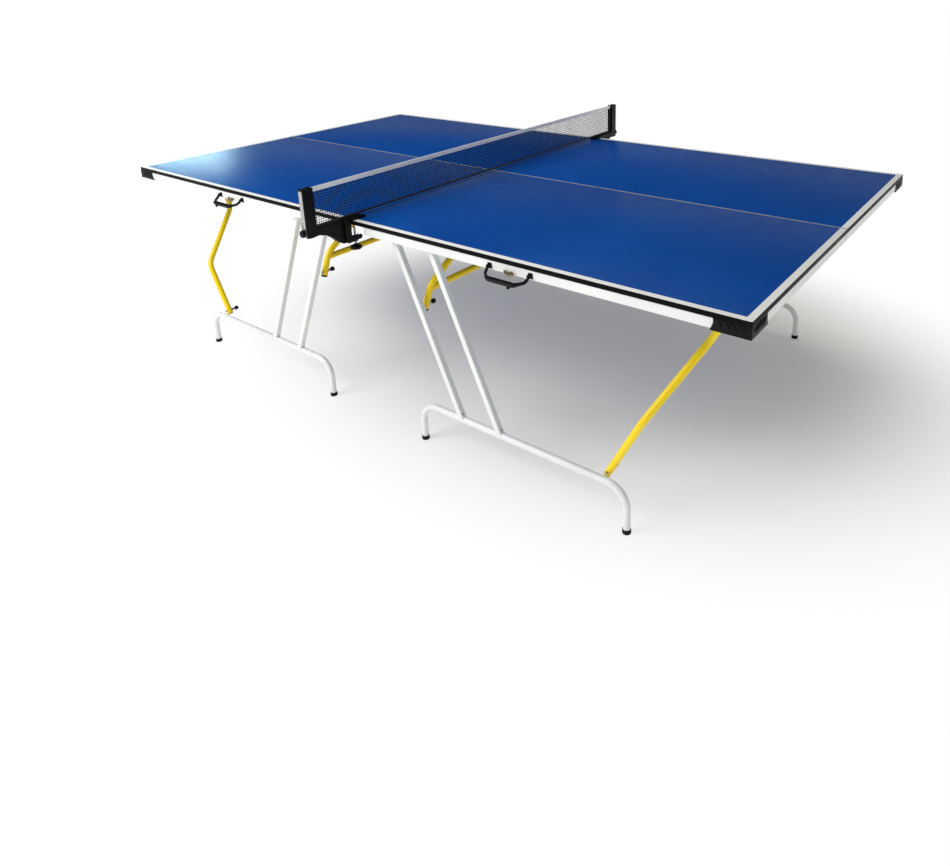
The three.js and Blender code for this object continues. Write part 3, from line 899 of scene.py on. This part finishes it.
def clamp_jaw():
    """The jaw plate that grips the board from above and the arm that carries the screw below it."""
    shape = Shape()
    edge, pad = SIDE_Y - 0.7, TOP + 0.4
    outline = [(-786, 690, 4), (-778, 684, 4), (-726, 688, 4), (-722, 691, 3), (-722, 699, 3), (edge, 700, 4),
               (edge, pad, 1.5), (-709, pad, 1.2), (-708, TOP + 3, 1.5), (-711, 768, 3), (-786, 768, 4)]
    prism(shape, softened(outline, 4), "x", -1.1, 22, bevel=1.2, segments=3)
    nut = [(0, 682.5), (8.4, 682.5), (9.2, 683.4), (9.2, 699.5), (8.2, 701.5), (0, 701.5)]
    lathe(shape, nut, (SCREW_X, SCREW_Y, 0), sides=28)
    boss = [(0, 0), (6.2, 0), (6.8, 1), (6.8, 9), (5.4, 11.5), (0, 12)]
    lathe(shape, boss, (SCREW_X, -728, 693), (0, 1, 0))
    return block(shape, (19, 31), (-768, -709), (pad, 769), 2)


def tension_knob():
    """Knob low on the post's outer face that pulls the net's cord tight."""
    profile = [(0, -1), (6, -1), (6, 1.5), (10.5, 2), (11.5, 3.2), (11.5, 10), (10, 12), (5, 12.6), (0, 12)]
    return lathe(Shape(), profile, (0, POST_Y[0] - 1.6, 758), (0, -1, 0), sides=60, lobes=15, depth=0.03)


def highlight_strip_and_lever():
    """Bright steel strip down the post's outer face, a painted highlight where that face catches a rim of
    light, with a small lever beside its foot.
    """
    shape = Shape()
    outer = POST_Y[0]
    # The strip is a painted highlight along the post's outer face; the lever is a real part.
    outline = softened([(-8, 744, 3), (8, 744, 3), (8, 893, 2), (-8, 893, 2)])
    prism(shape, outline, "y", outer - 1.6, outer + 0.4, bevel=0.4)
    lever = rounded([(-9, outer - 2.4, 792), (-9, outer - 3.2, 772), (-9, outer + 1.5, 742)], 12)
    return sweep(shape, lever, rectangle((-4, 4), (-0.9, 0.9), 0.6), up=(0, 1, 0))


def clamp_rod():
    """Threaded rod with a swivel pad that presses on the board's underside."""
    low, high = SCREW_LOW.z + 13, SCREW_HIGH.z
    profile = [(0, low), (3.3, low)]
    z = low + 1
    while z < high - 5.5:
        profile += [(3.2, z), (3.9, z + 0.55), (3.9, z + 0.7), (3.2, z + 1.25)]
        z += 1.5
    profile += [(3.2, high - 4.6), (7.4, high - 3.8), (9, high - 2.4), (9, high - 0.5), (8.2, high),
                (0, high)]
    return lathe(Shape(), profile, (SCREW_X, SCREW_Y, 0), sides=20)


def clamp_knob():
    """Seven-lobed knob at the foot of the clamp's rod."""
    profile = [(0, 0), (14, 0), (17.4, 1.4), (19.4, 4), (19.4, 9), (17.4, 12), (13, 13.4), (7, 14),
               (6.2, 18.5), (4.4, 19.2), (0, 19.2)]
    return lathe(Shape(), profile, (SCREW_X, SCREW_Y, SCREW_LOW.z), sides=84, lobes=7, depth=0.055)


TAPE = 15
HEM = 6
PITCH = 8.6
STRAND = 1.0


def net_strands():
    """The open mesh: twines that cross over and under each other."""
    shape = Shape()
    low, high = NET_LOW.z + 1.5, NET_HIGH.z - TAPE + 3
    end = NET_HIGH.y - 1.5
    columns = round(2 * end / PITCH)
    rows = round((high - low) / PITCH)
    for i in range(columns + 1):
        y = -end + 2 * end * i / columns
        path = []
        for k in range(2 * rows + 1):
            lean = 0.35 * math.sin(0.9 * i + 0.7 * k)
            over = 0.45 * math.cos(math.pi * (k / 2 + i)) if k % 2 == 0 else 0
            path.append((over, y + lean, low + (high - low) * k / (2 * rows)))
        sweep(shape, path, circle(STRAND, 5), up=(1, 0, 0))
    for k in range(1, rows):
        path = []
        for i in range(2 * columns + 1):
            sag = 0.4 * math.sin(0.31 * i + 1.7 * k)
            over = -0.45 * math.cos(math.pi * (k + i / 2)) if i % 2 == 0 else 0
            path.append((over, -end + 2 * end * i / (2 * columns), low + (high - low) * k / rows + sag))
        sweep(shape, path, circle(STRAND, 5), up=(1, 0, 0))
    return shape


def band(z_low, z_high, thick, end, wave):
    """A flat folded tape along the net, slightly wavy as sewn cloth is."""
    rings = []
    count = 220
    half = (z_high - z_low) / 2
    section = rectangle((-thick, thick), (-half, half), thick, 4)
    for i in range(count + 1):
        y = -end + 2 * end * i / count
        shift = wave * (math.sin(0.35 * i) + 0.6 * math.sin(0.13 * i + 1))
        rings.append([(a + shift, y, (z_low + z_high) / 2 + b + 0.4 * shift) for a, b in section])
    return skin(Shape(), rings)


def net_sleeves():
    """Black sleeves at the net's two ends, beside the posts."""
    shape = Shape()
    end = NET_HIGH.y
    for side in (-1, 1):
        y = sorted((side * (end - 7), side * end))
        outline = rectangle(y, (NET_LOW.z, NET_HIGH.z - TAPE), 1)
        prism(shape, outline, "x", -1.6, 1.6, bevel=0.8, segments=3)
    return shape


def tape_stitches():
    """A row of stitches along the tape's lower edge, on both faces."""
    shape = Shape()
    z = NET_HIGH.z - TAPE + 2
    count, end = 340, NET_HIGH.y - 6
    for i in range(count):
        y = -end + i * 2 * end / count
        for side in (-1, 1):
            path = [(side * 1.6, y, z), (side * 2.15, y + 1.6, z), (side * 1.6, y + 3.2, z)]
            sweep(shape, path, circle(0.28, 5))
    return shape


# --- putting it together --------------------------------------------------------------------------

PANEL_PIECES = [
    ("playing_board", board, "board", "panel", ["board"]),
    ("edge_band", edge_band, "edge", "panel", []),
    ("side_channel", side_apron, "white", "panel", ["side_apron"]),
    ("end_channel", end_apron, "white", "panel", ["end_apron"]),
    ("flange_screws", apron_screws, "edge", "panel", []),
    ("channel_plug", apron_plug, "plastic", "panel", []),
    ("moulded_corner", corner_cap, "plastic", "panel", ["corner_cap"]),
    ("leg_bracket", leg_hanger, "white", "panel", ["leg_hanger"]),
    ("pivot_bolts", pivot_bolts, "zinc", "panel", []),
    ("brace_saddles", saddles, "plastic", "panel", []),
    ("hinge_angle", hinge_rail, "zinc", "panel", ["hinge_rail"]),
    ("handle_feet", handle_feet, "plastic", "panel", []),
    ("wing_latch", wing_latch, "latch", "panel", []),
    ("leg_tubes", leg_frame, "white", "leg", ["leg_frame"]),
    ("foot_bow", foot_tube, "white", "leg", ["foot_tube"]),
    ("drain_plugs", drain_plugs, "plastic", "leg", []),
    ("inner_rubber_foot", lambda: foot_cap(FEET_X[0]), "rubber", "leg", ["inner_foot_cap"]),
    ("outer_rubber_foot", lambda: foot_cap(FEET_X[1]), "rubber", "leg", ["outer_foot_cap"]),
    ("net_brace_tubes", net_brace, "yellow", "net_brace", ["net_side_brace"]),
    ("net_brace_plugs", net_brace_plugs, "plastic", "net_brace", []),
    ("net_brace_pin", lambda: lock_pin(NET_PIN), "steel", "net_brace", []),
    ("net_brace_knob", lambda: lock_knob(NET_PIN), "plastic", "net_brace", []),
    ("end_brace_tubes", end_brace, "yellow", "end_brace", ["end_side_brace"]),
    ("end_brace_plugs", end_brace_plugs, "plastic", "end_brace", []),
    ("end_brace_pin", lambda: lock_pin(END_PIN), "steel", "end_brace", []),
    ("end_brace_knob", lambda: lock_knob(END_PIN), "plastic", "end_brace", []),
    ("carrying_handle", handle, "plastic", "handle_bail", ["handle"]),
]

for piece_name, draw, finish, body, nodes in PANEL_PIECES:
    drawn = draw()
    for half, side_x in (("right", 1), ("left", -1)):
        for row, side_y in (("near", 1), ("far", -1)):
            quarter = f"{half}_{row}"
            make(f"{quarter}_{piece_name}", drawn, finish, f"{quarter}_{body}", (side_x, side_y),
                 [f"{quarter}_{node}" for node in nodes])

for half, side_x in (("right", 1), ("left", -1)):
    make(f"{half}_hinge_link", hinge_leaf(), "zinc", f"{half}_hinge", (side_x, 1), [f"{half}_hinge_leaf"])

CLAMP_PIECES = [
    ("clamp_post", clamp_body, "plastic", "clamp", ["net_clamp"]),
    ("clamp_jaw", clamp_jaw, "plastic", "clamp", []),
    ("tension_knob", tension_knob, "plastic", "clamp", []),
    ("highlight_strip_and_lever", highlight_strip_and_lever, "steel", "clamp", []),
    ("screw_rod", clamp_rod, "steel", "screw", ["clamp_screw"]),
    ("screw_knob", clamp_knob, "plastic", "screw", []),
]
for piece_name, draw, finish, body, nodes in CLAMP_PIECES:
    drawn = draw()
    for end, side_y in (("near", 1), ("far", -1)):
        make(f"{end}_{piece_name}", drawn, finish, f"{end}_{body}", (1, side_y),
             [f"{end}_{node}" for node in nodes])

net = make("net_twines", net_strands(), "net", "net_mesh", stands_for=["net"], smooth=80)
tape_band = band(NET_HIGH.z - TAPE, NET_HIGH.z + 0.5, 1.6, NET_HIGH.y, 0.12)
hem_band = band(NET_LOW.z - 2, NET_LOW.z + HEM, 1.0, NET_HIGH.y - 1, 0.15)
tape = make("net_top_tape", tape_band, "tape", "net_mesh")
hem = make("net_hem", hem_band, "hem", "net_mesh")
sleeves = make("net_sleeves", net_sleeves(), "hem", "net_mesh")
stitches = make("net_stitches", tape_stitches(), "tape", "net_mesh", smooth=80)


# --- studio ---------------------------------------------------------------------------------------

SKY = 0.42


def add_floor():
    mesh = bpy.data.meshes.new("floor")
    mesh.from_pydata([(-30, -30, 0), (30, -30, 0), (30, 30, 0), (-30, 30, 0)], [], [(0, 1, 2, 3)])
    nodes = Nodes("floor_painted_glow_and_shadow", Roughness=0.9, Specular_IOR_Level=0.1, Emission_Color=(1, 1, 1, 1))
    # Painted light: the floor glows. The glow is weak (0.1) over an oval centred under the table, which is a
    # painted shadow, and fully white further out. There the base colour turns black, so the glow alone sets
    # the brightness.
    distance_from_painted_shadow = nodes.add("ShaderNodeVectorMath", {0: nodes.place, 1: (-0.3, -0.3, 0)}, operation="ADD").outputs[0]
    distance_from_painted_shadow = nodes.add("ShaderNodeVectorMath", {0: distance_from_painted_shadow, 1: (0.72, 1, 0)}, operation="MULTIPLY").outputs[0]
    distance_from_painted_shadow = nodes.add("ShaderNodeVectorMath", {0: distance_from_painted_shadow}, operation="LENGTH").outputs["Value"]
    painted_glow = nodes.add("ShaderNodeMapRange", {"Value": distance_from_painted_shadow, "From Min": 0.6, "From Max": 1.4, "To Min": 0.1},
                     interpolation_type="SMOOTHSTEP").outputs["Result"]
    pale = nodes.mix(nodes.noise(0.6, 2), rgb(240, 236, 226), rgb(243, 239, 230))
    nodes.link(nodes.mix(painted_glow, pale, (0, 0, 0, 1)), "Base Color")
    nodes.link(painted_glow, "Emission Strength")
    mesh.materials.append(nodes.material)
    floor = bpy.data.objects.new("floor", mesh)
    bpy.context.scene.collection.objects.link(floor)


def add_light(name, place, target, size, energy, colour=(1, 1, 1)):
    light = bpy.data.lights.new(name, "AREA")
    light.shape = "RECTANGLE"
    light.size, light.size_y = size
    light.energy = energy
    light.color = colour
    lamp = bpy.data.objects.new(name, light)
    lamp.visible_camera = False
    lamp.location = place
    lamp.rotation_euler = (Vector(target) - Vector(place)).to_track_quat("-Z", "Y").to_euler()
    bpy.context.scene.collection.objects.link(lamp)


def add_world():
    """White backdrop that gives an even soft light. Gloss sees it dimmer, and darkest high up."""
    world = bpy.data.worlds.new("studio")
    bpy.context.scene.world = world
    world.use_nodes = True
    tree = world.node_tree
    background = tree.nodes["Background"]
    background.inputs["Color"].default_value = (1, 1, 1, 1)
    place = tree.nodes.new("ShaderNodeTexCoord")
    axes = tree.nodes.new("ShaderNodeSeparateXYZ")
    sky = tree.nodes.new("ShaderNodeMapRange")
    for socket, value in {"From Min": 0.0, "From Max": 0.22, "To Min": 0.4, "To Max": 0.01}.items():
        sky.inputs[socket].default_value = value
    ray = tree.nodes.new("ShaderNodeLightPath")
    gloss, seen = tree.nodes.new("ShaderNodeMix"), tree.nodes.new("ShaderNodeMix")
    gloss.inputs[2].default_value = SKY
    seen.inputs[3].default_value = 1.0
    tree.links.new(place.outputs["Generated"], axes.inputs[0])
    tree.links.new(axes.outputs[2], sky.inputs["Value"])
    tree.links.new(ray.outputs["Is Glossy Ray"], gloss.inputs[0])
    tree.links.new(sky.outputs["Result"], gloss.inputs[3])
    tree.links.new(ray.outputs["Is Camera Ray"], seen.inputs[0])
    tree.links.new(gloss.outputs[0], seen.inputs[2])
    tree.links.new(seen.outputs[0], background.inputs["Strength"])


add_floor()
add_world()
add_light("key", (-1.5, -3.6, 3.2), (0.1, 0, 0.3), (2.6, 2.0), 145)
add_light("overhead", (0.2, 0.9, 3.9), (0.2, 0.3, 0.7), (2.4, 1.6), 30)
add_light("glare", (-5.48, 1.31, 1.7), (-1.3, -0.6, 0.76), (0.9, 0.6), 22, (0.6, 0.94, 1))
bpy.context.scene.view_settings.view_transform = "Standard"
